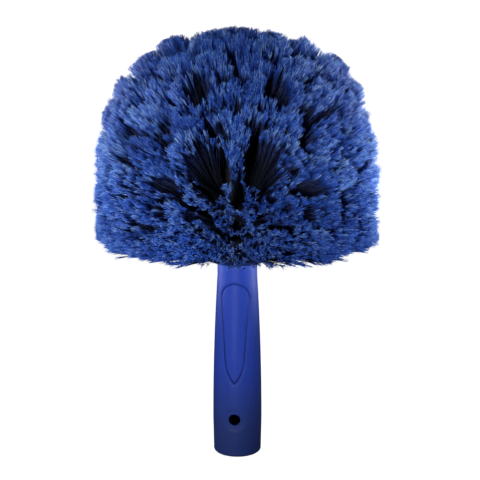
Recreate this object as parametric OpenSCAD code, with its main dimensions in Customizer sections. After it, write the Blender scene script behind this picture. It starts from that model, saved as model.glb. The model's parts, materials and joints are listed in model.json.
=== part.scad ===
// Domed wash brush: a bristle head on a socket handle that takes an extension pole.
// Origin: centre of the handle's open end. +Z runs up the handle to the crown of the head.
// -Y is the front, where the thumb recess and the lock button hole are.

/* [Head] */
// Diameter of the trimmed bristle surface
head_d = 198; // [190:1:210]
// Diameter of the block that the bristles are set in
block_d = 60; // [58:1:62]
// Height of the block's straight side, below its dome
block_straight_h = 64; // [62:1:66]
// Turn of the block on the handle's spigot, in degrees, seen from above
block_turn = 7; // [-10:1:10]

/* [Tufts] */
// Diameter of each drilled tuft hole
hole_d = 5.5; // [5:0.1:5.6]
// Depth of each tuft hole along its own axis
hole_depth = 13; // [11:0.5:13]
// Distance between rings, measured up the block's side
ring_pitch = 10.2; // [10:0.1:10.4]
// Height of the lowest ring of holes above the block's base
first_ring_h = 9.5; // [9:0.5:10]
// Least distance round a ring between neighbouring holes
hole_spacing = 10.2; // [10.2:0.1:11]
// Upward tilt of the lowest ring of tufts, in degrees
first_tilt = 9; // [6:1:12]
// Diameter of a tuft near its trimmed end
tuft_end_d = 18; // [14:0.5:18]

/* [Handle] */
// Height of the handle below the block
handle_h = 140; // [136:1:150]
// Largest diameter of the grip, near its open end
grip_d = 35.2; // [35:0.1:36]
// Diameter of the neck, where the handle meets the block
neck_d = 28.3; // [28:0.1:30]
// Bore of the socket, a free fit on a 25.4 mm pole
socket_d = 25.8; // [25.6:0.1:26]
// Depth of the pole socket
socket_depth = 82; // [70:1:86]
// Diameter of the hole for the pole's spring button
button_hole_d = 8.4; // [8:0.1:9]
// Height of the button hole above the open end
button_hole_z = 28; // [24:1:34]
// Depth of the thumb recess below the grip's surface
recess_depth = 0.9; // [0.5:0.1:1.2]
// Full width of the thumb recess
recess_w = 19.9; // [18:0.1:21]

/* [Fixing screw] */
// Shank diameter of the screw that holds the block on the handle
screw_d = 4.8; // [4:0.1:5]
// Length of the screw under its head
screw_l = 34; // [30:1:38]
// Outer diameter of the washer
washer_d = 12; // [11:0.5:13]

/* [Hidden] */
$fn = 64;
eps = 0.01;

// Head
block_r = block_d / 2;
head_r = head_d / 2;
dome_z = handle_h + block_straight_h;
rings = 10;
crown = rings + 1;
// Rings turned by half a step, so that their tufts stand in the gaps of the ring below.
// Rings 5, 6 and 7 line up instead, which leaves the open partings between the columns there.
turned_rings = [2, 4, 8, 10];
crown_path = block_straight_h + block_r * PI / 2;
// Rounding of the dome's shoulder: its radius, and the place of the ring that its centres lie on
shoulder_r = 72;
shoulder_ring_r = 22;
shoulder_h = 24;
// The block's base is drawn in to this diameter, over this height
block_base_d = 34;
block_base_h = 5;

// Tufts and the staples that hold them
tuft_d = hole_d - 0.2;
tuft_cone_l = 80;
// How much faster the tufts turn upright near the crown than near the rim
tilt_growth = 1.6;
staple_t = 0.4;
staple_h = 2.2;
fold_t = 0.9;

// Handle
end_edge_r = 2;
end_d = grip_d - 1;
grip_z = 25;
neck_z = 131;
swell = 1.9;
grip_steps = 16;
end_edge_step = 15;
core_d = 17;
spigot_d = 25;
spigot_h = 28;
web_t = 8;
screw_seat_z = handle_h + spigot_h - web_t;

// Thumb recess, heights above the open end
recess_top_z = 126.4;
recess_arch_z = recess_top_z - recess_w / 2;
recess_waist_z = 71.5;
recess_waist_w = 14.4;
recess_tip_z = 55.3;
recess_steps = 10;

// Fixing screw
washer_t = 1;
screw_head_d = 9.5;
screw_head_h = 3.2;
drive_d = 4.5;
drive_w = 1.2;
drive_depth = 2;
screw_play = 0.4;
pilot_end_play = 1;
pilot_z = screw_seat_z + screw_l + pilot_end_play;
spigot_play = 0.2;

// Distance of a ring from the block's base, measured along the block's side
function ring_path(ring) = ring == crown ? crown_path : first_ring_h + (ring - 1) * ring_pitch;

// Angle round the dome at a distance along the block's side
function dome_angle(path) = max(0, path - block_straight_h) / block_r * 180 / PI;

// Radius and height of the hole mouths of a ring
function mouth_r(ring) = block_r * cos(dome_angle(ring_path(ring)));
function mouth_z(ring) = handle_h + min(ring_path(ring), block_straight_h)
    + block_r * sin(dome_angle(ring_path(ring)));

// Tufts tilt up more and more from the lowest ring to the crown, which stands upright
function tilt(ring) = first_tilt
    + (90 - first_tilt) * pow((ring_path(ring) - first_ring_h) / (crown_path - first_ring_h), tilt_growth);

// As many tufts as fit a ring at the hole spacing
function tuft_count(ring) = ring == crown ? 1 : floor(2 * PI * mouth_r(ring) / hole_spacing);

// Angle of a ring's first tuft, measured from the front of the handle
function ring_turn(ring) = block_turn + (len(search(ring, turned_rings)) > 0 ? 180 / tuft_count(ring) : 0);

// Grip radius at height z: nearly straight at the open end, then drawn in to the straight neck
function grip_r(z) = z < grip_z
    ? (end_d + (grip_d - end_d) * z / grip_z) / 2
    : (grip_d - (grip_d - neck_d) * pow(min(1, (z - grip_z) / (neck_z - grip_z)), swell)) / 2;

// Half width of the recess between its waist and its pointed tip
function recess_half(t) = recess_waist_w / 2 * sqrt(1 - t * t);

// Places its children at every hole mouth of a ring, with +Z pointing out along the tuft
module at_tufts(ring) {
    for (k = [0 : tuft_count(ring) - 1])
        rotate([0, 0, -90 + ring_turn(ring) + k * 360 / tuft_count(ring)])
            translate([mouth_r(ring), 0, mouth_z(ring)])
                rotate([0, 90 - tilt(ring), 0])
                    children();
}

// The trimmed surface of the whole head: a dome with full shoulders on a straight side
module trimmed_head() {
    translate([0, 0, dome_z]) sphere(d = head_d);
    translate([0, 0, dome_z + shoulder_h])
        rotate_extrude()
            intersection() {
                translate([shoulder_ring_r, 0]) circle(r = shoulder_r);
                translate([0, -shoulder_r]) square([head_r, 2 * shoulder_r]);
            }
    translate([0, 0, handle_h]) cylinder(d = head_d, h = block_straight_h);
}

// The flat wire that crosses a hole near its bottom, with the tuft folded round it
module staple() {
    translate([-staple_t / 2, -hole_d / 2, fold_t - hole_depth])
        cube([staple_t, hole_d, staple_h]);
}

// One tuft: a round bundle in its hole that fans out towards the trimmed end
module tuft() {
    difference() {
        union() {
            translate([0, 0, -hole_depth]) cylinder(d = tuft_d, h = hole_depth);
            cylinder(d1 = tuft_d, d2 = tuft_end_d, h = tuft_cone_l);
        }
        staple();
    }
}

module tuft_ring(ring) {
    color("royalblue")
        intersection() {
            at_tufts(ring) tuft();
            trimmed_head();
        }
}

module staple_ring(ring) {
    color("silver") at_tufts(ring) staple();
}

// Section of the grip, from the axis out, pulled in by inset all round
module grip_section(inset) {
    polygon(concat(
        [[0, 0]],
        [for (a = [0 : end_edge_step : 90])
            [end_d / 2 - end_edge_r - inset + end_edge_r * sin(a), end_edge_r * (1 - cos(a))]],
        [for (i = [1 : grip_steps])
            let (z = end_edge_r + (handle_h - end_edge_r) * i / grip_steps)
            [grip_r(z) - inset, z]],
        [[0, handle_h]]
    ));
}

// Outline of the thumb recess: an arch at the top and a point at the bottom
module recess_outline() {
    translate([0, recess_arch_z]) circle(d = recess_w);
    polygon(concat(
        [[-recess_w / 2, recess_arch_z], [recess_w / 2, recess_arch_z]],
        [for (i = [0 : recess_steps]) let (t = i / recess_steps)
            [recess_half(t), recess_waist_z + (recess_tip_z - recess_waist_z) * t]],
        [for (i = [1 : recess_steps]) let (t = 1 - i / recess_steps)
            [-recess_half(t), recess_waist_z + (recess_tip_z - recess_waist_z) * t]]
    ));
}

// Everything in front of the grip that lies inside the recess outline
module thumb_recess() {
    difference() {
        rotate([90, 0, 0]) linear_extrude(grip_d) recess_outline();
        rotate_extrude() grip_section(recess_depth);
    }
}

module handle() {
    color("mediumblue")
        difference() {
            union() {
                rotate_extrude() grip_section(0);
                translate([0, 0, handle_h - eps]) cylinder(d = spigot_d, h = spigot_h + eps);
            }
            translate([0, 0, -eps]) cylinder(d = socket_d, h = socket_depth + eps);
            cylinder(d = core_d, h = screw_seat_z);
            cylinder(d = screw_d + screw_play, h = handle_h + spigot_h + eps);
            translate([0, 0, button_hole_z]) rotate([90, 0, 0]) cylinder(d = button_hole_d, h = grip_d);
            thumb_recess();
        }
}

module head_block() {
    color("black")
        difference() {
            union() {
                translate([0, 0, handle_h])
                    cylinder(d1 = block_base_d, d2 = block_d, h = block_base_h);
                translate([0, 0, handle_h + block_base_h])
                    cylinder(d = block_d, h = block_straight_h - block_base_h);
                translate([0, 0, dome_z]) sphere(d = block_d);
            }
            translate([0, 0, handle_h - eps]) cylinder(d = spigot_d + spigot_play, h = spigot_h + eps);
            translate([0, 0, handle_h]) cylinder(d = screw_d, h = pilot_z - handle_h);
            for (ring = [1 : crown])
                at_tufts(ring)
                    translate([0, 0, -hole_depth]) cylinder(d = hole_d, h = 2 * hole_depth);
        }
}

// Pan head screw, driven up through the handle's core into the block
module block_screw() {
    color("silver")
        translate([0, 0, screw_seat_z - washer_t])
            difference() {
                union() {
                    cylinder(d = screw_d, h = screw_l + washer_t);
                    translate([0, 0, -screw_head_h]) cylinder(d = screw_head_d, h = screw_head_h);
                }
                for (turn = [0, 90])
                    rotate([0, 0, turn])
                        translate([-drive_d / 2, -drive_w / 2, -screw_head_h - eps])
                            cube([drive_d, drive_w, drive_depth + eps]);
            }
}

module screw_washer() {
    color("gainsboro")
        translate([0, 0, screw_seat_z - washer_t])
            difference() {
                cylinder(d = washer_d, h = washer_t);
                translate([0, 0, -eps]) cylinder(d = screw_d + screw_play, h = washer_t + 2 * eps);
            }
}

handle();
head_block();
block_screw();
screw_washer();
tuft_ring(1);  // tuft_ring_1
tuft_ring(2);  // tuft_ring_2
tuft_ring(3);  // tuft_ring_3
tuft_ring(4);  // tuft_ring_4
tuft_ring(5);  // tuft_ring_5
tuft_ring(6);  // tuft_ring_6
tuft_ring(7);  // tuft_ring_7
tuft_ring(8);  // tuft_ring_8
tuft_ring(9);  // tuft_ring_9
tuft_ring(10);  // tuft_ring_10
tuft_ring(crown);  // crown_tuft
staple_ring(1);  // staples_ring_1
staple_ring(2);  // staples_ring_2
staple_ring(3);  // staples_ring_3
staple_ring(4);  // staples_ring_4
staple_ring(5);  // staples_ring_5
staple_ring(6);  // staples_ring_6
staple_ring(7);  // staples_ring_7
staple_ring(8);  // staples_ring_8
staple_ring(9);  // staples_ring_9
staple_ring(10);  // staples_ring_10
staple_ring(crown);  // crown_staple
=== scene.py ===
"""Wheel brush: its bristles and handle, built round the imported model, with camera and lights.

Everything is in metres, except where a comment says mm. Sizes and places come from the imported
model where it has them.
"""

import json
import math

import bpy
import bmesh
import numpy as np
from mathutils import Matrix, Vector


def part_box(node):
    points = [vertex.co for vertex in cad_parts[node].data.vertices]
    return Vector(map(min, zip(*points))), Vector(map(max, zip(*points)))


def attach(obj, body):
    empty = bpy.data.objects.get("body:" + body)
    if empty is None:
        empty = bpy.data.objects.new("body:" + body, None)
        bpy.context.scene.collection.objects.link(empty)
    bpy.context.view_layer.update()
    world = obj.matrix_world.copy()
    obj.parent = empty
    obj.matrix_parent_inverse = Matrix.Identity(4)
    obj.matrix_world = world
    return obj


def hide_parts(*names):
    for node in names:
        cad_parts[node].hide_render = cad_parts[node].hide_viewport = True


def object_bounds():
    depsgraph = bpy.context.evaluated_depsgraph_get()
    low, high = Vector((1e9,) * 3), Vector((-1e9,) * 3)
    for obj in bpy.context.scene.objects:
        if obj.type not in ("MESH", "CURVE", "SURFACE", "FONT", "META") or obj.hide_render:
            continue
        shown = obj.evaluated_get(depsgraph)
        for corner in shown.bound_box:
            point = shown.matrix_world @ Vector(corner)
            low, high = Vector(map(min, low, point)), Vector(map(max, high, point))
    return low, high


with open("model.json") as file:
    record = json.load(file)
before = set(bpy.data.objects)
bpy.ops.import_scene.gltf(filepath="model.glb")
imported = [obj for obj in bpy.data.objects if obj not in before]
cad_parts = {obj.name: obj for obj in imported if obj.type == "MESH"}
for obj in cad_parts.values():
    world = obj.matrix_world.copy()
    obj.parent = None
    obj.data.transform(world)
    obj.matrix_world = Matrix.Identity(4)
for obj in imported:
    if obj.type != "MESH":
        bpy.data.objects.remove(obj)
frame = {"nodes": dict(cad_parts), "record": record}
cad_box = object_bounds()

MM = 0.001
SEED = 3

# The object faces -y, and the photo looks at it from a little to the right of that
CAMERA_AZIMUTH = math.radians(7)

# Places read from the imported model
MOUNTS = {mount["name"]: mount for mount in frame["record"]["mounts"]}
NECK_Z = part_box("head_block")[0].z
HEAD_R = (cad_box[1].x - cad_box[0].x) / 2
DOME_Z = cad_box[1].z - HEAD_R
# Shoulders of the head: a quarter ring that rounds the dome out to a fuller shape
SHOULDER_R = 72 * MM
SHOULDER_RING_R = 22 * MM
SHOULDER_H = 24 * MM
RING_NODES = ["tuft_ring_%d" % ring for ring in range(1, 11)] + ["crown_tuft"]


# ---------------------------------------------------------------- small helpers


def new_object(name, mesh, material, body="root"):
    """Links a mesh as a piece of the object that rides on a CAD body."""
    piece = bpy.data.objects.new(name, mesh)
    bpy.context.scene.collection.objects.link(piece)
    piece.data.materials.append(material)
    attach(piece, body)
    return piece


def mesh_from_arrays(name, points, faces):
    """A mesh from an array of points and a list of arrays of faces, one for each corner count."""
    mesh = bpy.data.meshes.new(name)
    corners = np.concatenate([group.ravel() for group in faces]).astype(np.int32)
    sizes = np.concatenate([np.full(len(group), group.shape[1], np.int32) for group in faces])
    starts = np.concatenate([[0], np.cumsum(sizes)[:-1]]).astype(np.int32)
    mesh.vertices.add(len(points))
    mesh.vertices.foreach_set("co", np.asarray(points, np.float32).ravel())
    mesh.loops.add(len(corners))
    mesh.loops.foreach_set("vertex_index", corners)
    mesh.polygons.add(len(sizes))
    mesh.polygons.foreach_set("loop_start", starts)
    mesh.update(calc_edges=True)
    mesh.validate()
    mesh.shade_smooth()
    return mesh


def smoothstep(x, low, high):
    t = np.clip((x - low) / (high - low), 0, 1)
    return t * t * (3 - 2 * t)


# ---------------------------------------------------------------- materials


class Nodes:
    """A short way to build one node material."""

    def __init__(self, name):
        self.material = bpy.data.materials.new(name)
        self.material.use_nodes = True
        self.tree = self.material.node_tree
        self.shader = self.tree.nodes["Principled BSDF"]

    def add(self, kind, **values):
        node = self.tree.nodes.new(kind)
        for key, value in values.items():
            setattr(node, key, value)
        return node

    def link(self, source, target):
        self.tree.links.new(source, target)

    def place(self):
        return self.add("ShaderNodeTexCoord").outputs["Object"]

    def noise(self, scale, detail=4, roughness=0.6, stretch=(1, 1, 1)):
        """Noise in the frame's own metres, stretched along an axis if the grain runs that way."""
        mapping = self.add("ShaderNodeMapping")
        mapping.inputs["Scale"].default_value = stretch
        self.link(self.place(), mapping.inputs["Vector"])
        noise = self.add("ShaderNodeTexNoise")
        noise.inputs["Scale"].default_value = scale
        noise.inputs["Detail"].default_value = detail
        noise.inputs["Roughness"].default_value = roughness
        self.link(mapping.outputs["Vector"], noise.inputs["Vector"])
        return noise.outputs["Fac"]

    def ramp(self, source, stops):
        """A colour ramp from (position, colour) stops."""
        ramp = self.add("ShaderNodeValToRGB")
        elements = ramp.color_ramp.elements
        while len(elements) < len(stops):
            elements.new(0.5)
        for element, (position, colour) in zip(elements, stops):
            element.position = position
            element.color = (*colour, 1)
        self.link(source, ramp.inputs["Fac"])
        return ramp.outputs["Color"]

    def spread(self, source, low, high, start=0.0, end=1.0):
        """Maps start to end onto low to high."""
        node = self.add("ShaderNodeMapRange")
        node.inputs["From Min"].default_value = start
        node.inputs["From Max"].default_value = end
        node.inputs["To Min"].default_value = low
        node.inputs["To Max"].default_value = high
        self.link(source, node.inputs["Value"])
        return node.outputs["Result"]

    def mix(self, factor, a, b, blend="MIX"):
        """Mixes two colours. Each of factor, a and b is a socket or a value."""
        node = self.add("ShaderNodeMix", data_type="RGBA", blend_type=blend)
        for name, value in (("Factor", factor), ("A", a), ("B", b)):
            kind = "NodeSocketFloatFactor" if name == "Factor" else "NodeSocketColor"
            socket = next(s for s in node.inputs if s.name == name and s.bl_idname == kind)
            if isinstance(value, bpy.types.NodeSocket):
                self.link(value, socket)
            elif name == "Factor":
                socket.default_value = value
            else:
                socket.default_value = (*value, 1)
        return next(s for s in node.outputs if s.bl_idname == "NodeSocketColor")

    def bump(self, height, strength, distance, below=None):
        node = self.add("ShaderNodeBump")
        node.inputs["Strength"].default_value = strength
        node.inputs["Distance"].default_value = distance
        self.link(height, node.inputs["Height"])
        if below is not None:
            self.link(below, node.inputs["Normal"])
        return node.outputs["Normal"]


def bristle_material():
    """Blue filament, with painted shade that darkens it to nearly black at the root, royal blue at
    the end, and pale on some split tips.

    Each point's along is its place on the filament, and its strand is the filament's own tone.
    """
    m = Nodes("bristle")
    along = m.add("ShaderNodeAttribute", attribute_name="along").outputs["Fac"]
    strand = m.add("ShaderNodeAttribute", attribute_name="strand").outputs["Fac"]
    # Painted shade: the colour darkens from the end down to nearly black at the root, deep in the
    # tuft
    colour = m.ramp(
        along,
        [
            (0.0, (0.005, 0.006, 0.010)),
            (0.6, (0.006, 0.008, 0.018)),
            (0.80, (0.007, 0.014, 0.060)),
            (0.93, (0.008, 0.034, 0.21)),
            (0.97, (0.014, 0.058, 0.35)),
            (1.0, (0.025, 0.096, 0.47)),
        ],
    )
    tone = m.ramp(
        strand, [(0.0, (0.5, 0.52, 0.58)), (0.5, (1.0, 1.0, 1.0)), (1.0, (1.34, 1.32, 1.22))]
    )
    patches = m.ramp(m.noise(38), [(0.3, (0.74, 0.77, 0.84)), (0.7, (1.22, 1.18, 1.09))])
    colour = m.mix(1.0, m.mix(1.0, colour, tone, "MULTIPLY"), patches, "MULTIPLY")
    split = m.ramp(along, [(0.88, (0, 0, 0)), (1.0, (1, 1, 1))])
    pale = m.ramp(strand, [(0.5, (0, 0, 0)), (1.0, (0.62, 0.62, 0.62))])
    colour = m.mix(m.mix(1.0, split, pale, "MULTIPLY"), colour, (0.25, 0.41, 0.62))
    m.link(colour, m.shader.inputs["Base Color"])
    m.link(m.spread(strand, 0.36, 0.6), m.shader.inputs["Roughness"])
    m.shader.inputs["Specular IOR Level"].default_value = 0.12
    m.shader.inputs["Sheen Weight"].default_value = 0.03
    m.shader.inputs["Sheen Roughness"].default_value = 0.5
    m.shader.inputs["Sheen Tint"].default_value = (0.45, 0.6, 1.0, 1)
    return m.material


# Heights between which painted shade turns the handle's colour darker and greyer to the lower end
BOTTOM_SHADE_FROM = 66 * MM
BOTTOM_SHADE_FULLY = 20 * MM


def handle_material():
    """Satin moulded polypropylene: fine grain, faint flow marks, scuffs, and painted shade at the
    lower end and in the recess's groove.
    """
    m = Nodes("handle_plastic")
    flow = m.noise(26, detail=5, stretch=(1, 1, 0.22))
    colour = m.ramp(flow, [(0.3, (0.0145, 0.0385, 0.28)), (0.7, (0.020, 0.048, 0.333))])
    scuffs = m.noise(300, detail=6, roughness=0.75, stretch=(1, 1, 0.12))
    marks = m.ramp(scuffs, [(0.64, (0, 0, 0)), (0.74, (0.09, 0.09, 0.09))])
    colour = m.mix(marks, colour, (0.16, 0.22, 0.5))
    xyz = m.add("ShaderNodeSeparateXYZ")
    m.link(m.place(), xyz.inputs["Vector"])
    # Painted shade: the colour turns darker and greyer towards the lower end
    painted_bottom_shade = m.spread(xyz.outputs["Z"], 0.0, 1.0, start=BOTTOM_SHADE_FROM, end=BOTTOM_SHADE_FULLY)
    colour = m.mix(painted_bottom_shade, colour, (0.0207, 0.039, 0.175))
    # Painted shade: a dark line in the recess's groove
    crease = m.add("ShaderNodeAttribute", attribute_name="crease").outputs["Fac"]
    colour = m.mix(crease, colour, (0.004, 0.009, 0.06))
    m.link(colour, m.shader.inputs["Base Color"])
    m.link(m.spread(m.noise(90, detail=3), 0.40, 0.54), m.shader.inputs["Roughness"])
    grain = m.bump(m.noise(2600, detail=2), 0.16, 0.0002)
    waves = m.bump(flow, 0.12, 0.0006, below=grain)
    m.link(waves, m.shader.inputs["Normal"])
    m.shader.inputs["Specular IOR Level"].default_value = 0.07
    return m.material


def block_material():
    """Near-black moulded plastic, dusty in patches."""
    m = Nodes("block_plastic")
    dust = m.noise(120, detail=6, roughness=0.7)
    m.link(
        m.ramp(dust, [(0.35, (0.002, 0.002, 0.004)), (0.75, (0.005, 0.006, 0.010))]),
        m.shader.inputs["Base Color"],
    )
    m.link(m.spread(dust, 0.42, 0.7), m.shader.inputs["Roughness"])
    m.link(m.bump(m.noise(1500, detail=3), 0.2, 0.0003), m.shader.inputs["Normal"])
    m.shader.inputs["Specular IOR Level"].default_value = 0.06
    return m.material


def steel_material(name, light, dark, grain_scale):
    """Drawn or plated steel with fine scratches along the part and a dull bloom."""
    m = Nodes(name)
    bloom = m.noise(260, detail=5)
    m.link(m.ramp(bloom, [(0.3, dark), (0.7, light)]), m.shader.inputs["Base Color"])
    m.shader.inputs["Metallic"].default_value = 1.0
    scratches = m.noise(grain_scale, detail=4, stretch=(1, 1, 0.08))
    m.link(m.spread(scratches, 0.22, 0.48), m.shader.inputs["Roughness"])
    m.link(m.bump(scratches, 0.1, 0.0001), m.shader.inputs["Normal"])
    return m.material


def floor_material():
    """Pale studio floor with a faint mottle: white to the camera, and dim to everything else."""
    m = Nodes("studio_floor")
    seen = m.add("ShaderNodeLightPath").outputs["Is Camera Ray"]
    mottle = m.ramp(m.noise(6), [(0.3, (0.92, 0.92, 0.92)), (0.7, (0.95, 0.95, 0.95))])
    m.link(m.mix(seen, (0.16, 0.16, 0.17), mottle), m.shader.inputs["Base Color"])
    m.shader.inputs["Roughness"].default_value = 0.9
    m.shader.inputs["Specular IOR Level"].default_value = 0.0
    m.shader.inputs["Emission Color"].default_value = (1, 1, 1, 1)
    m.link(m.spread(seen, 0.0, 0.9), m.shader.inputs["Emission Strength"])
    return m.material


# ---------------------------------------------------------------- bristles

# Filaments in a tuft, and the bent and straight splits at each one's tip
FILAMENTS = 124
BENT_SPLITS = 2
STRAIGHT_SPLITS = 4
SHAFT_R = 0.26 * MM
SPLIT_R = 0.2 * MM
# The bundle in its hole
MOUTH_R = 2.3 * MM
ROOT_DEPTH = 10 * MM
HOLE_DEPTH = 13 * MM
# Angles of an even spiral and of a random turn, in radians
GOLDEN_ANGLE = 2.39996
TURN = 6.28
# Points of a shaft above its hole, as shares of the free length, with the taper from the root on
SHAFT_STOPS = (0.0, 0.45, 0.85)
SHAFT_TAPER = np.array([0.8, 1.0, 1.0, 0.75])
# Where a tip starts to split, as a share of the free length: this, and up to so much later
SPLIT_FROM = 0.80
SPLIT_DELAY = 0.09
# Start, middle and end of a split: its taper, and its place along the filament for its colour
SPLIT_TAPER = np.array([1.0, 0.9, 0.7])
SPLIT_ALONG = np.array([0.84, 0.93, 1.0])
# Radians from one split to the next round the filament, and their random spread
SPLIT_TURN = 2.4
SPLIT_TURN_SPREAD = 0.5
# Range in mm that split tips are thrown aside by, and the share of it at a bent split's middle
BENT_THROW = (0.2, 2.2)
STRAIGHT_THROW = (0.2, 1.5)
MIDDLE_THROW = 0.3
# How much longer than the filament its longest splits are, and how much shorter the rest fall
SPLIT_EXTRA = 0.4 * MM
SPLIT_SHORTER = 1.3 * MM
# How far the middle of the split tips and the longest of them lie below the head's surface
TRIM_SINK = 0.9 * MM
CUT_SINK = -0.3 * MM
# Half sizes of the fan at the trimmed end, round the head and up it, and its least random share
FAN_ROUND = 18 * MM
FAN_UP = 11 * MM
FAN_LEAST = 0.78
# How much further the middle of a tuft stands out than its edge, and the share of the radius,
# squared, where it stands at the trimmed surface
TUFT_ROUNDING = 6.5 * MM
TUFT_LEVEL = 0.4
# The same within a clump, for each unit of the tuft's radius
CLUMP_ROUNDING = 4.5 * MM
CLUMP_LEVEL = 0.12
# Clumps in a tuft, and how far each draws its filaments to its own middle
CLUMPS = 24
CLUMP_PULL = (0.05, 0.4)
# How far filaments and clumps stray from their even spirals, as shares of the tuft's radius
FILAMENT_JITTER = 0.05
CLUMP_JITTER = 0.1
# Random lengths of tufts, clumps and filaments, of the cut ends of clumps, and the mounds' height
TUFT_LENGTH = 1.3 * MM
CLUMP_LENGTH = 0.7 * MM
FILAMENT_LENGTH = 1.0 * MM
CUT_LENGTH = 0.5 * MM
MOUND_HEIGHT = 1.2 * MM
# Length and number of the waves behind the mounds and the smooth shifts, and their variety
MOUND_WAVES = (32 * MM, 9)
SHIFT_WAVES = (55 * MM, 7)
WAVE_VARIETY = (0.7, 1.4)
# Random shifts of tips: smooth ones over the whole head, and those of tufts and clumps
WAVE_SHIFT = 2.4 * MM
TUFT_SHIFT = 1.5 * MM
CLUMP_SHIFT = 1.3 * MM
# How fully clumps give way to the partings, with the spreads of clumps and of filaments
GIVE_MEAN = 0.91
GIVE_CLUMPS = 0.18
GIVE_FILAMENTS = 0.1
GIVE_MOST = 1.08
# Share of filaments that stray, and how much longer they are, in mm
STRAYS = 0.012
STRAY_EXTRA = (0.5, 3)
# Height of the rim that the lowest tips are combed up to, how much lower it hangs at the front,
# its spreads for clumps and filaments, and how fully tips and strays are combed
RIM_Z = 161.5 * MM
RIM_DROP = 6.8 * MM
RIM_CLUMPS = 1.5 * MM
RIM_FILAMENTS = 1.0 * MM
RIM_LIFT = 0.86
STRAY_LIFT = 0.25
FRONT = np.array([math.sin(CAMERA_AZIMUTH), -math.cos(CAMERA_AZIMUTH)])
# Power that bends the free length off the tuft's axis, and how far in mm and how often in
# radians it waves
BEND = 1.35
WOBBLE = (0.1, 0.7)
WOBBLE_WAVES = 7
# Random tones of tufts, clumps, filaments and split tips
TUFT_TONE = (0.3, 0.6)
CLUMP_TONE = (-0.1, 0.1)
FILAMENT_TONE = 0.2
SPLIT_TONE = 0.17

# A ring's tufts: the shares of the full fan that they spread round the head and downward, how
# far their tips are combed down and how far they scatter, and whether the partings reach them
PLAIN_RING = {"fan": 1.0, "low_fan": 1.0, "comb": 0.0, "scatter": 0.7 * MM, "parted": True}
RING_CHANGES = {
    "tuft_ring_1": {
        "fan": 1.15, "low_fan": 0.8, "comb": 1.5 * MM, "scatter": 2.0 * MM, "parted": False
    },
    "tuft_ring_2": {"fan": 1.1, "comb": 3.0 * MM, "scatter": 1.4 * MM, "parted": False},
    "tuft_ring_8": {"fan": 0.85},
    "tuft_ring_9": {"fan": 0.85},
    "tuft_ring_10": {"fan": 0.9},
    "crown_tuft": {"fan": 0.75},
}
# Longer than any free length
FAR = 140 * MM


def loose_solids(node):
    """The point sets of the separate solids of a CAD node."""
    bm = bmesh.new()
    bm.from_mesh(frame["nodes"][node].data)
    bmesh.ops.remove_doubles(bm, verts=bm.verts, dist=0.002 * MM)
    found = []
    seen = set()
    for start in bm.verts:
        if start in seen:
            continue
        seen.add(start)
        stack = [start]
        members = []
        while stack:
            vert = stack.pop()
            members.append(vert.co[:])
            for edge in vert.link_edges:
                other = edge.other_vert(vert)
                if other not in seen:
                    seen.add(other)
                    stack.append(other)
        found.append(np.array(members))
    bm.free()
    return found


def tuft_axis(points):
    """The hole mouth and the outward direction of one CAD tuft. All tufts point upward.

    The bottom of the hole and its mouth are the solid's two round edges, and the axis joins
    their middles.
    """
    middle = points.mean(0)
    direction = np.linalg.svd(points - middle, full_matrices=False)[2][0]
    if direction[2] < 0:
        direction = -direction
    depth = (points - middle) @ direction
    bottom = points[depth < depth.min() + 0.2 * MM].mean(0)
    for _ in range(2):
        depth = (points - bottom) @ direction
        rim = points[np.abs(depth - HOLE_DEPTH) < 1.2 * MM]
        mouth = rim.mean(0)
        direction = (mouth - bottom) / np.linalg.norm(mouth - bottom)
    return mouth, direction


def above_trim(points):
    """Signed distance outside the trimmed surface: a full-shouldered dome on a straight side."""
    out = np.hypot(points[..., 0], points[..., 1])
    rise = np.maximum(points[..., 2] - DOME_Z, 0)
    dome = np.hypot(out, rise) - HEAD_R
    from_ring = np.maximum(out - SHOULDER_RING_R, 0)
    shoulder = np.hypot(from_ring, rise - SHOULDER_H) - SHOULDER_R
    return np.minimum(dome, np.where(rise > SHOULDER_H, shoulder, dome))


def reach_trim(start, direction):
    """How far along each direction the trimmed surface lies."""
    low = np.zeros(len(start))
    high = np.full(len(start), FAR)
    for _ in range(32):
        middle = (low + high) / 2
        outside = above_trim(start + direction * middle[:, None]) > 0
        high = np.where(outside, middle, high)
        low = np.where(outside, low, middle)
    return low


def unit(vectors):
    return vectors / np.linalg.norm(vectors, axis=-1, keepdims=True)


def smooth_vectors(points, waves, size):
    """A smooth vector field: a sum of sine waves with seeded directions."""
    total = np.zeros_like(points)
    for direction, phase, push in waves:
        total += np.sin(points @ direction + phase)[:, None] * push
    return total * size


def make_waves(rng, wavelength, count):
    """Sine waves for smooth_vectors: (direction and frequency, phase, push)."""
    waves = []
    for _ in range(count):
        frequency = 2 * math.pi / wavelength
        direction = unit(rng.normal(size=3)) * frequency * rng.uniform(*WAVE_VARIETY)
        phase = rng.uniform(0, 2 * math.pi)
        waves.append((direction, phase, rng.normal(size=3) / math.sqrt(count)))
    return waves


# Gaps where the tufts part at the front: (degrees right of the camera's side, degrees above
# the dome's middle, half width and half height in mm, strength from 0 to 1)
FRONT_PARTINGS = [
    (-11, 9, 15, 20, 1.0),
    (10.5, 9, 14, 20, 1.0),
    (-18, 37, 9, 13, 1.0),
    (18, 37, 9, 13, 1.0),
    (0, -2, 5, 5, 0.9),
    (0, 31, 4, 7, 0.8),
    (-3, 21, 3, 4, 0.8),
    (-30, 24, 5, 9, 0.85),
    (30, 24, 5, 9, 0.85),
    (-30, 1, 14, 5.5, 1.0),
    (30, -1, 14, 5.5, 1.0),
    (-31, -9, 9, 5, 0.9),
    (29, -9, 10, 5, 0.9),
    (0, -12, 4, 4, 0.85),
    (9, -11, 5, 3.5, 0.8),
    (-18, -9, 6, 4, 0.7),
    (19, -7, 6, 4, 0.7),
    (-5, 0, 2.5, 4, 0.6),
    (2, 0, 2.5, 4, 0.6),
    (-42, 13, 5, 6, 0.7),
    (42, 13, 5, 6, 0.7),
]


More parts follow.
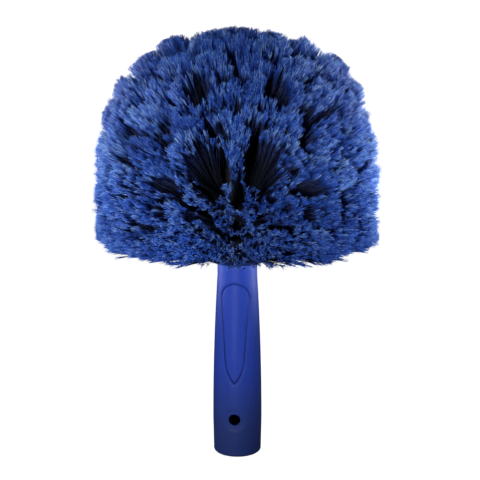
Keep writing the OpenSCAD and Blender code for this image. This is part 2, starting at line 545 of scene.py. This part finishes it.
# Gaps at the sides and back: how many are drawn, the degrees round from one to the next, the
# degrees above the dome's middle that they lie at, and how far they stray from both
BACK_PARTINGS = 30
BACK_STEP = 137.5
BACK_LATITUDES = [-13, -3, 9, 22, 37, 52]
STEP_STRAY = 9
LATITUDE_STRAY = 4
# Their ranges of half width and half height in mm, and of strength
BACK_WIDE = (2.5, 9)
BACK_TALL = (3, 11)
BACK_STRENGTH = (0.6, 0.9)
# Half angle at the front that they stay out of, in degrees
FRONT_SECTOR = 52


def make_partings(rng):
    """Gaps where the tufts part: (middle on the surface, half width, half height, strength)."""
    front = math.degrees(CAMERA_AZIMUTH) - 90
    places = [(front + across, *rest) for across, *rest in FRONT_PARTINGS]
    for turn in range(BACK_PARTINGS):
        azimuth = front + BACK_STEP * turn + rng.uniform(-STEP_STRAY, STEP_STRAY)
        latitude = rng.choice(BACK_LATITUDES) + rng.uniform(-LATITUDE_STRAY, LATITUDE_STRAY)
        wide = rng.uniform(*BACK_WIDE)
        tall = rng.uniform(*BACK_TALL)
        strength = rng.uniform(*BACK_STRENGTH)
        if abs((azimuth - front + 180) % 360 - 180) > FRONT_SECTOR:
            places.append((azimuth, latitude, wide, tall, strength))
    partings = []
    for azimuth, latitude, wide, tall, strength in places:
        a = math.radians(azimuth)
        b = math.radians(latitude)
        flat = HEAD_R * math.cos(b) if latitude > 0 else HEAD_R
        rise = HEAD_R * math.sin(b)
        middle = np.array([flat * math.cos(a), flat * math.sin(a), DOME_Z + rise])
        partings.append((middle, wide * MM, tall * MM, strength))
    return partings


# A gap pushes the tips within this many of its half sizes, measured along its own width and
# height, and within this many of the larger one in a straight line
GAP_REACH = 2
GAP_FARTHEST = 3
# Where a tip at the gap's middle goes, as a share of its reach
GAP_PUSH = 0.5


def part_tips(tips, partings):
    """Pushes tips out of each parting, along the surface."""
    moved = tips.copy()
    for middle, wide, tall, strength in partings:
        outward = unit(middle - np.array([0, 0, min(DOME_Z, middle[2])]))
        side = unit(np.cross([0, 0, 1], outward))
        rise = np.cross(outward, side)
        offset = moved - middle
        across = offset @ side
        along = offset @ rise
        away = np.hypot(across / (wide * GAP_REACH), along / (tall * GAP_REACH)) + 1e-6
        near = np.linalg.norm(offset, axis=1) < GAP_FARTHEST * max(wide, tall)
        pushed = GAP_PUSH + (1 - GAP_PUSH) * away
        grow = (away + (pushed - away) * strength) / away - 1
        grow = np.where((away < 1) & near, grow, 0)
        moved += across[:, None] * grow[:, None] * side + along[:, None] * grow[:, None] * rise
    return moved


def rings_of(path, radius, spin):
    """Three points round each point of each path: path is (n, rings, 3) and radius (rings,)."""
    heading = unit(path[:, -1] - path[:, 0])
    helper = np.where(np.abs(heading[:, 2:3]) > 0.9, [[1.0, 0, 0]], [[0, 0, 1.0]])
    side = unit(np.cross(heading, helper))
    top = np.cross(side, heading)
    corners = []
    for corner in range(3):
        angle = spin + corner * 2 * math.pi / 3
        corners.append(side * np.cos(angle)[:, None] + top * np.sin(angle)[:, None])
    corners = np.stack(corners, 1)
    return path[:, :, None, :] + corners[:, None, :, :] * radius[None, :, None, None]


def strand_faces(count, rings):
    """Quads and end triangles of `count` closed three-sided strands."""
    per = rings * 3
    quads = []
    for ring in range(rings - 1):
        for corner in range(3):
            near = ring * 3 + corner
            beside = ring * 3 + (corner + 1) % 3
            quads.append([near, beside, beside + 3, near + 3])
    triangles = np.array([[2, 1, 0], [per - 3, per - 2, per - 1]])
    starts = (np.arange(count) * per)[:, None, None]
    return (starts + np.array(quads)).reshape(-1, 4), (starts + triangles).reshape(-1, 3)


class Strands:
    """Collects closed strands, with what the material needs at each point."""

    def __init__(self):
        self.points = []
        self.quads = []
        self.triangles = []
        self.along = []
        self.strand = []
        self.total = 0

    def add(self, path, radius, spin, along, tone):
        """path (n, rings, 3), radius (rings,), spin (n,), along (rings,), tone (n,)."""
        count, rings = path.shape[:2]
        self.points.append(rings_of(path, radius, spin).reshape(-1, 3))
        quads, triangles = strand_faces(count, rings)
        self.quads.append(quads + self.total)
        self.triangles.append(triangles + self.total)
        self.along.append(np.tile(np.repeat(along, 3), count))
        self.strand.append(np.repeat(tone, rings * 3))
        self.total += count * rings * 3

    def mesh(self, name):
        """All strands as one mesh, with along and strand at each point."""
        faces = [np.concatenate(self.quads), np.concatenate(self.triangles)]
        mesh = mesh_from_arrays(name, np.concatenate(self.points), faces)
        for key, values in (("along", self.along), ("strand", self.strand)):
            mesh.attributes.new(key, "FLOAT", "POINT").data.foreach_set(
                "value", np.concatenate(values).astype(np.float32)
            )
        return mesh


def tuft_sides(direction):
    """The two directions across a tuft: level round the head, and up it."""
    sideways = np.array([-direction[1], direction[0], 0.0])
    if np.linalg.norm(sideways) < 0.15:
        sideways = np.array([1.0, 0, 0])
    sideways = unit(sideways)
    upward = np.cross(direction, sideways)
    if upward[2] < 0:
        upward = -upward
    return sideways, upward


def spiral(rng, count, jitter):
    """Places in a disc of radius 1: an even spiral at a random turn, a little disturbed."""
    index = np.arange(count)
    radius = np.sqrt((index + 0.5) / count)
    angle = index * GOLDEN_ANGLE + rng.uniform(0, TURN)
    places = np.stack([radius * np.cos(angle), radius * np.sin(angle)], 1)
    return places + rng.normal(scale=jitter, size=places.shape)


def fill_tuft(strands, rng, mouth, direction, waves, mounds, partings, ring):
    """Adds a tuft's filaments: a bundle in the hole that fans, clumps and splits at the tip."""
    sideways, upward = tuft_sides(direction)
    reach = reach_trim(mouth[None], direction[None])[0]
    place = spiral(rng, FILAMENTS, FILAMENT_JITTER)

    # Clumps, each with its own lean, length and tone
    centres = spiral(rng, CLUMPS, CLUMP_JITTER)
    apart = np.linalg.norm(place[:, None] - centres[None], axis=2)
    clump = np.argmin(apart, axis=1)
    edge = apart.min(1)
    pull = rng.uniform(*CLUMP_PULL, CLUMPS)[clump][:, None]
    clump_length = rng.normal(scale=CLUMP_LENGTH, size=CLUMPS) + rng.normal(scale=TUFT_LENGTH)
    clump_length = clump_length[clump]
    clump_tone = (rng.uniform(*TUFT_TONE) + rng.uniform(*CLUMP_TONE, CLUMPS))[clump]

    # Where straight filaments from the hole would meet the trimmed surface
    gathered = place * (1 - pull) + centres[clump] * pull
    round_head = gathered[:, 0] * FAN_ROUND * ring["fan"] * rng.uniform(FAN_LEAST, 1.0)
    up_head = gathered[:, 1] * FAN_UP * rng.uniform(FAN_LEAST, 1.0)
    up_head = np.where(up_head < 0, up_head * ring["low_fan"], up_head)
    root = mouth + (place[:, :1] * sideways + place[:, 1:] * upward) * MOUTH_R
    fan = round_head[:, None] * sideways + up_head[:, None] * upward
    heading = unit(mouth + direction * reach + fan - root)
    tips = root + heading * reach_trim(root, heading)[:, None]
    tips[:, 2] -= ring["comb"]

    # Shifts of the tips, then the partings, then the combing up to the rim
    tips += smooth_vectors(tips, waves, WAVE_SHIFT)
    tips += rng.normal(size=3) * TUFT_SHIFT
    tips += (rng.normal(size=(CLUMPS, 3)) * CLUMP_SHIFT)[clump]
    tips += rng.normal(size=tips.shape) * ring["scatter"]
    parted = part_tips(tips, partings)
    give = rng.normal(GIVE_MEAN, GIVE_CLUMPS, CLUMPS)[clump]
    give = np.clip(give + rng.normal(scale=GIVE_FILAMENTS, size=FILAMENTS), 0, GIVE_MOST)
    tips += (parted - tips) * give[:, None]
    stray = rng.random(FILAMENTS) < STRAYS
    facing = np.clip(unit(tips[:, :2]) @ FRONT, 0, 1)
    rim = RIM_Z - RIM_DROP * facing**3 + rng.normal(scale=RIM_CLUMPS, size=CLUMPS)[clump]
    rim += rng.normal(scale=RIM_FILAMENTS, size=FILAMENTS)
    below = np.maximum(rim - tips[:, 2], 0)
    tips[:, 2] += below * np.where(stray, STRAY_LIFT, RIM_LIFT)

    # Lengths: back onto the trimmed surface, then rounded, and cut where they pass it
    heading = unit(tips - root)
    surface = reach_trim(root, heading)
    length = surface + clump_length - TRIM_SINK
    length += rng.normal(scale=FILAMENT_LENGTH, size=FILAMENTS)
    length += smooth_vectors(tips, mounds, MOUND_HEIGHT)[:, 0]
    length += TUFT_ROUNDING * (TUFT_LEVEL - (gathered**2).sum(1))
    length += CLUMP_ROUNDING * (CLUMP_LEVEL - edge)
    cut = surface - CUT_SINK + rng.normal(scale=CUT_LENGTH, size=CLUMPS)[clump]
    length = np.minimum(length, cut)
    length += np.where(stray, rng.uniform(*STRAY_EXTRA, FILAMENTS) * MM, 0)

    forward = direction[None] * (heading @ direction)[:, None]
    lateral = heading - forward
    wobble = unit(np.cross(heading, rng.normal(size=(FILAMENTS, 3))))
    wobble_size = rng.uniform(*WOBBLE, FILAMENTS) * MM
    wobble_turn = rng.uniform(0, TURN, FILAMENTS)

    def at(share):
        """Point on each filament at this share of its free length."""
        share = np.broadcast_to(share, (FILAMENTS,))
        bent = forward * share[:, None] + lateral * (share**BEND)[:, None]
        wave = np.sin(share * WOBBLE_WAVES + wobble_turn) - np.sin(wobble_turn)
        return root + bent * length[:, None] + wobble * (wobble_size * wave * share)[:, None]

    spin = rng.uniform(0, TURN, FILAMENTS)
    tone = np.clip(clump_tone + rng.normal(scale=FILAMENT_TONE, size=FILAMENTS), 0, 1)
    buried = root - direction * ROOT_DEPTH
    path = np.stack([buried] + [at(stop) for stop in SHAFT_STOPS], 1)
    strands.add(path, SHAFT_R * SHAFT_TAPER, spin, np.array([0, *SHAFT_STOPS]), tone)

    side_a = unit(np.cross(heading, wobble))
    side_b = np.cross(heading, side_a)
    for split in range(BENT_SPLITS + STRAIGHT_SPLITS):
        bent = split < BENT_SPLITS
        turn = spin + split * SPLIT_TURN + rng.normal(scale=SPLIT_TURN_SPREAD, size=FILAMENTS)
        throw = rng.uniform(*(BENT_THROW if bent else STRAIGHT_THROW), FILAMENTS) * MM
        aside = side_a * np.cos(turn)[:, None] + side_b * np.sin(turn)[:, None]
        aside *= throw[:, None]
        start = SPLIT_FROM + rng.uniform(0, SPLIT_DELAY, FILAMENTS)
        shorter = np.abs(rng.normal(scale=SPLIT_SHORTER, size=FILAMENTS))
        end = 1 + (SPLIT_EXTRA - shorter) / length
        middle = at((start + end) / 2) + aside * MIDDLE_THROW
        path = np.stack([at(start), middle, at(end) + aside], 1)
        kept = [0, 1, 2] if bent else [0, 2]
        split_tone = np.clip(tone + rng.normal(scale=SPLIT_TONE, size=FILAMENTS), 0, 1)
        radius = SPLIT_R * SPLIT_TAPER[kept]
        strands.add(path[:, kept], radius, turn, SPLIT_ALONG[kept], split_tone)


def make_bristles(material):
    """One piece of bristles for each CAD ring of tufts."""
    rng = np.random.default_rng(SEED)
    waves = make_waves(rng, *SHIFT_WAVES)
    mounds = make_waves(rng, *MOUND_WAVES)
    partings = make_partings(rng)
    for node in RING_NODES:
        ring = PLAIN_RING | RING_CHANGES.get(node, {})
        near = partings if ring["parted"] else []
        strands = Strands()
        for solid in loose_solids(node):
            mouth, direction = tuft_axis(solid)
            fill_tuft(strands, rng, mouth, direction, waves, mounds, near, ring)
        name = "bristles_" + node.replace("tuft_", "")
        piece = new_object(name, strands.mesh(name), material)
        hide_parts(node)


# ---------------------------------------------------------------- handle

# Sizes here are in mm. Radii of the grip, and the heights that they belong to
END_R = 17.1
GRIP_R = 17.6
NECK_R = 14.15
GRIP_Z = 25
STRAIGHT_NECK_Z = 131
GRIP_SWELL = 1.9
END_EDGE_R = 2.0
# Rounding of the neck's top edge
NECK_CHAMFER = 0.4
# Inside, from the top down: spigot, the screw's hole and seat, the neck's core and the socket
SPIGOT_R = 12.5
SPIGOT_TOP = 168
SPIGOT_CHAMFER = 0.8
SCREW_SEAT = 160
SCREW_HOLE_R = 2.6
CORE_R = 8.5
SOCKET_CHAMFER = 0.7
# Height of the moulding's parting ridge, down both sides, and where its lower end is
PARTING_RIDGE = 0.07
RIDGE_BOTTOM = 3
# Thumb recess: an arch, a waist and a pointed tip, as heights and half widths, and the powers
# that give the tip its sides
RECESS_TOP = 126.4
RECESS_HALF = 9.95
RECESS_WAIST = 71.5
RECESS_WAIST_HALF = 6.95
RECESS_TIP = 55.3
TIP_FALL = 1.6
TIP_ROUNDING = 0.72
# The groove round the recess. The recess's floor, how far its middle rises again, and how far
# in from the outline both happen, and how far out the shoulder round the outline fades
GROOVE_DEPTH = 0.85
GROOVE_HALF = 0.45
FLOOR_DEPTH = 0.5
FLOOR_EDGE = (-0.2, 0.8)
FLOOR_CROWN = 0.28
CROWN_RISE = (2.0, 7.5)
SHOULDER_FADE = (0, 2.6)
# The dish round the button hole, the radii that it fades between, and the hole's rounded lip
DISH_DEPTH = 0.55
DISH_FADE = (6.0, 9.2)
LIP_DEPTH = 0.45
LIP_FADE = 0.4
# The cutter for the button hole: its length, and its middle at the front wall
CUTTER_LENGTH = 20
CUTTER_Y = -17
# Half width and strength of the painted shade line in the recess's groove, and how deep under
# the round surface a point still counts as outside
GROOVE_SHADE_HALF = 0.42
GROOVE_SHADE_STRENGTH = 0.8
GROOVE_SHADE_DEPTH = 1.6


def grip_radius(z):
    """Radius of the grip in mm at a height in mm, with the open end's edge rounded."""
    fall = np.clip((z - GRIP_Z) / (STRAIGHT_NECK_Z - GRIP_Z), 0, 1) ** GRIP_SWELL
    below = END_R + (GRIP_R - END_R) * z / GRIP_Z
    radius = np.where(z < GRIP_Z, below, GRIP_R - (GRIP_R - NECK_R) * fall)
    low = np.clip(END_EDGE_R - z, 0, END_EDGE_R)
    return radius - END_EDGE_R + np.sqrt(END_EDGE_R**2 - low**2)


def recess_outline():
    """The recess's outline as (x, z) points in mm: over the arch to the left, then to the tip."""
    turns = np.linspace(0, math.pi, 41)
    arch_z = RECESS_TOP - RECESS_HALF
    arch = np.stack([RECESS_HALF * np.cos(turns), arch_z + RECESS_HALF * np.sin(turns)], 1)
    t = np.linspace(1, 0, 25)[:-1]
    half = RECESS_WAIST_HALF * (1 - t**TIP_FALL) ** TIP_ROUNDING
    heights = RECESS_WAIST + (RECESS_TIP - RECESS_WAIST) * t
    right_tip = np.stack([half, heights], 1)
    left_tip = np.stack([-half[::-1], heights[::-1]], 1)
    return np.concatenate([arch, left_tip, right_tip])


def recess_distance(x, z):
    """Signed distance in mm to the recess's outline, negative inside."""
    outline = recess_outline()
    ends = np.roll(outline, -1, axis=0)
    points = np.stack([x, z], -1)
    nearest = np.full(x.shape, 1e9)
    crossings = np.zeros(x.shape, int)
    for a, b in zip(outline, ends):
        span = b - a
        share = np.clip(((points - a) @ span) / max(span @ span, 1e-9), 0, 1)
        gap = np.linalg.norm(points - a - share[..., None] * span, axis=-1)
        nearest = np.minimum(nearest, gap)
        straddles = (a[1] > z) != (b[1] > z)
        if b[1] != a[1]:
            crossings += straddles & (x < (b[0] - a[0]) * (z - a[1]) / (b[1] - a[1]) + a[0])
    return np.where(crossings % 2 == 1, -nearest, nearest)


def handle_sinks(x, z, button):
    """How far in mm the front of the grip lies below its round surface."""
    d = recess_distance(x, z)
    groove = GROOVE_DEPTH * np.exp(-((d / GROOVE_HALF) ** 2))
    floor = FLOOR_DEPTH * smoothstep(-d, *FLOOR_EDGE) - FLOOR_CROWN * smoothstep(-d, *CROWN_RISE)
    shoulder = FLOOR_CROWN * np.where(d > 0, 1 - smoothstep(d, *SHOULDER_FADE), 1)
    away = np.hypot(x, z - button["z"])
    dish = DISH_DEPTH * (1 - smoothstep(away, *DISH_FADE))
    lip = LIP_DEPTH * np.exp(-np.maximum(away - button["r"], 0) / LIP_FADE)
    return groove + floor + shoulder + dish + lip


def revolve(profile, angles):
    """Points (profile, angle, 3) of a profile of (r, z) turned round the handle's axis."""
    r, z = profile[:, :1], profile[:, 1:]
    height = np.broadcast_to(z, (len(z), len(angles)))
    return np.stack([r * np.cos(angles), r * np.sin(angles), height], -1)


def grip_angles():
    """Angles round the grip: fine at the front, and five close ones at each parting ridge."""
    ridge = np.array([-1.0, -0.5, 0, 0.5, 1.0])
    front = np.arange(-135, -45, 0.75)
    right = np.concatenate([np.arange(-45, -2, 4), ridge, np.arange(3, 90, 4)])
    left = np.concatenate([np.arange(90, 178, 4), 180 + ridge, np.arange(183, 225, 4)])
    return np.radians(np.concatenate([front, right, left]))


def grip_heights(neck_z):
    """Heights of the grip's rings: fine at the rounded edge, the button hole and the recess."""
    edge = END_EDGE_R * (1 - np.cos(np.radians(np.arange(0, 91, 7.5))))
    return np.concatenate(
        [
            edge,
            np.arange(3, 16, 1.2),
            np.arange(16, 40, 0.4),
            np.arange(40, 52, 0.8),
            np.arange(52, 130, 0.4),
            np.arange(130, neck_z, 1.0),
            [neck_z],
        ]
    )


def cut_button_hole(piece, button):
    """Cuts the button hole through the front wall only, and bakes the cut into the mesh."""
    bm = bmesh.new()
    radius = button["r"] * MM
    length = CUTTER_LENGTH * MM
    bmesh.ops.create_cone(
        bm, cap_ends=True, segments=72, radius1=radius, radius2=radius, depth=length
    )
    cutter_mesh = bpy.data.meshes.new("button_hole_cutter")
    bm.to_mesh(cutter_mesh)
    bm.free()
    cutter = bpy.data.objects.new("button_hole_cutter", cutter_mesh)
    bpy.context.scene.collection.objects.link(cutter)
    cutter.rotation_euler = (math.radians(90), 0, 0)
    cutter.location = (0, CUTTER_Y * MM, button["z"] * MM)
    modifier = piece.modifiers.new("button_hole", "BOOLEAN")
    modifier.object = cutter
    modifier.operation = "DIFFERENCE"
    modifier.solver = "EXACT"
    bpy.context.view_layer.update()
    evaluated = piece.evaluated_get(bpy.context.evaluated_depsgraph_get())
    cut = bpy.data.meshes.new_from_object(evaluated)
    piece.modifiers.clear()
    piece.data = cut
    bpy.data.objects.remove(cutter)
    cut.shade_smooth()
    cut.set_sharp_from_angle(angle=math.radians(38))


def paint_groove_shade(mesh):
    """Gives the material a dark line of painted shade in the recess's groove, as a value at each
    point.
    """
    points = np.empty(len(mesh.vertices) * 3)
    mesh.vertices.foreach_get("co", points)
    x, y, z = points.reshape(-1, 3).T / MM
    outside = (y < 0) & (np.hypot(x, y) > grip_radius(z) - GROOVE_SHADE_DEPTH)
    line = np.exp(-((recess_distance(x, z) / GROOVE_SHADE_HALF) ** 2))
    crease = (line * outside * GROOVE_SHADE_STRENGTH).astype(np.float32)
    mesh.attributes.new("crease", "FLOAT", "POINT").data.foreach_set("value", crease)


def make_handle(material):
    """The handle as one moulding: grip with its recess, socket, core, spigot and button hole."""
    socket = MOUNTS["pole_socket"]
    socket_r = socket["dims"]["r_mm"]
    socket_depth = socket["dims"]["length_mm"]
    button_mount = MOUNTS["button_hole"]
    button = {"r": button_mount["dims"]["r_mm"], "z": button_mount["pos_m"][2] * 1000}
    neck_z = NECK_Z * 1000

    angles = grip_angles()
    heights = grip_heights(neck_z)
    outer = revolve(np.stack([grip_radius(heights), heights], 1), angles)
    x, z = outer[..., 0], outer[..., 2]
    facing = outer[..., 1] < 0
    sink = np.where(facing, handle_sinks(x, z, button), 0)
    on_ridge = (np.abs(np.sin(angles)) < 0.004)[None, :] & (z > RIDGE_BOTTOM)
    ridge = np.where(on_ridge, PARTING_RIDGE, 0)
    shrink = 1 + (ridge - sink) / np.hypot(outer[..., 0], outer[..., 1])
    outer[..., 0] *= shrink
    outer[..., 1] *= shrink

    inner = np.array(
        [
            [NECK_R - NECK_CHAMFER, neck_z],
            [SPIGOT_R, neck_z],
            [SPIGOT_R, SPIGOT_TOP - SPIGOT_CHAMFER],
            [SPIGOT_R - SPIGOT_CHAMFER, SPIGOT_TOP],
            [SCREW_HOLE_R, SPIGOT_TOP],
            [SCREW_HOLE_R, SCREW_SEAT],
            [CORE_R, SCREW_SEAT],
            [CORE_R, socket_depth],
            [socket_r, socket_depth],
            [socket_r, 40],
            [socket_r, SOCKET_CHAMFER],
            [socket_r + SOCKET_CHAMFER, 0],
        ]
    )
    rings = np.concatenate([outer, revolve(inner, angles)]) * MM
    rows, columns = rings.shape[:2]
    near = np.arange(rows)[:, None] * columns + np.arange(columns)[None, :]
    beside = np.roll(near, -1, axis=1)
    above = np.roll(near, -1, axis=0)
    above_beside = np.roll(above, -1, axis=1)
    quads = np.stack([near, beside, above_beside, above], -1).reshape(-1, 4)
    mesh = mesh_from_arrays("handle_grip", rings.reshape(-1, 3), [quads])
    piece = new_object("handle_grip", mesh, material)
    cut_button_hole(piece, button)
    paint_groove_shade(piece.data)
    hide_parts("handle")


def make_cad_looks(block, steel, staple):
    """Materials for the nodes that keep their CAD mesh."""
    for name, node in frame["nodes"].items():
        if name == "head_block":
            look = block
        elif "staple" in name:
            look = staple
        elif name in ("block_screw", "screw_washer"):
            look = steel
        else:
            continue
        if not node.material_slots:
            node.data.materials.append(look)
        for slot in node.material_slots:
            slot.material = look


# ---------------------------------------------------------------- camera, light and floor

CAMERA_DISTANCE = 0.714
CAMERA_HEIGHT = 0.2827
CAMERA_PITCH = math.radians(-10.1)
CAMERA_STEP = 0.0019
LENS = 76.95

# Strength of the white that the camera sees, above 1 so that it stays white, and of the room's
# light on everything else
BACKGROUND_LIGHT = 1.1
ROOM_LIGHT = 0.12
FLOOR_HALF = 3.0
WHITE = (1.0, 1.0, 1.0)
WARM = (1.0, 0.95, 0.72)
# Soft boxes: name, place, height aimed at, size, power, spread in degrees and colour
LIGHTS = [
    ("light_left", (-0.80, -0.27, 0.16), 0.17, (0.3, 0.3), 0.080, 28, WHITE),
    ("light_right", (0.79, -0.13, 0.22), 0.25, (0.3, 0.3), 0.12, 23, WHITE),
    ("light_front", (-0.12, -1.0, 0.20), 0.19, (0.16, 0.3), 0.33, 24, WHITE),
    ("light_edge_left", (-0.84, 0.16, 0.13), 0.23, (0.2, 0.06), 0.42, 17, WARM),
    ("light_edge_right", (0.81, 0.29, 0.13), 0.23, (0.2, 0.06), 0.58, 17, WARM),
    ("light_back_left", (-0.60, 0.85, 0.40), 0.205, (0.4, 0.4), 0.26, 34, WHITE),
    ("light_back_right", (0.65, 0.80, 0.34), 0.205, (0.4, 0.4), 0.28, 34, WHITE),
]


def make_camera():
    """The photo's view: from the front, tipped down a little, with a slight step to the right."""
    data = bpy.data.cameras.new("camera")
    data.lens = LENS
    data.sensor_width = 36
    data.dof.use_dof = False
    camera = bpy.data.objects.new("camera", data)
    bpy.context.scene.collection.objects.link(camera)
    bpy.context.scene.camera = camera
    right = Vector((math.cos(CAMERA_AZIMUTH), math.sin(CAMERA_AZIMUTH), 0))
    back = Vector((math.sin(CAMERA_AZIMUTH), -math.cos(CAMERA_AZIMUTH), 0))
    camera.location = back * CAMERA_DISTANCE + right * CAMERA_STEP
    camera.location.z = CAMERA_HEIGHT
    look = -back * math.cos(CAMERA_PITCH) + Vector((0, 0, math.sin(CAMERA_PITCH)))
    camera.rotation_euler = look.to_track_quat("-Z", "Y").to_euler()


def area_light(name, place, target, size, power, spread, colour):
    data = bpy.data.lights.new(name, "AREA")
    data.shape = "RECTANGLE"
    data.size, data.size_y = size
    data.energy = power
    data.color = colour
    data.spread = math.radians(spread)
    light = bpy.data.objects.new(name, data)
    bpy.context.scene.collection.objects.link(light)
    light.location = place
    light.rotation_euler = (Vector(target) - Vector(place)).to_track_quat("-Z", "Y").to_euler()


def make_stage():
    """White to the camera all round, a dimmer room to everything else, and the soft boxes."""
    world = bpy.data.worlds.new("studio")
    bpy.context.scene.world = world
    world.use_nodes = True
    tree = world.node_tree
    seen = tree.nodes.new("ShaderNodeLightPath").outputs["Is Camera Ray"]
    strength = tree.nodes.new("ShaderNodeMapRange")
    strength.inputs["To Min"].default_value = ROOM_LIGHT
    strength.inputs["To Max"].default_value = BACKGROUND_LIGHT
    tree.links.new(seen, strength.inputs["Value"])
    background = tree.nodes["Background"]
    background.inputs["Color"].default_value = (1, 1, 1, 1)
    tree.links.new(strength.outputs["Result"], background.inputs["Strength"])
    bpy.context.scene.view_settings.view_transform = "Standard"

    mesh = bpy.data.meshes.new("floor")
    far = FLOOR_HALF
    corners = [(-far, -far, 0), (far, -far, 0), (far, far, 0), (-far, far, 0)]
    mesh.from_pydata(corners, [], [(0, 1, 2, 3)])
    floor = bpy.data.objects.new("floor", mesh)
    bpy.context.scene.collection.objects.link(floor)
    floor.data.materials.append(floor_material())

    for name, place, aim, size, power, spread, colour in LIGHTS:
        area_light(name, place, (0, 0, aim), size, power, spread, colour)


# ---------------------------------------------------------------- build

make_camera()
make_bristles(bristle_material())
make_handle(handle_material())
make_cad_looks(
    block_material(),
    steel_material("plated_steel", (0.72, 0.71, 0.68), (0.55, 0.54, 0.51), 900),
    steel_material("staple_wire", (0.62, 0.61, 0.58), (0.42, 0.41, 0.39), 2400),
)
make_stage()
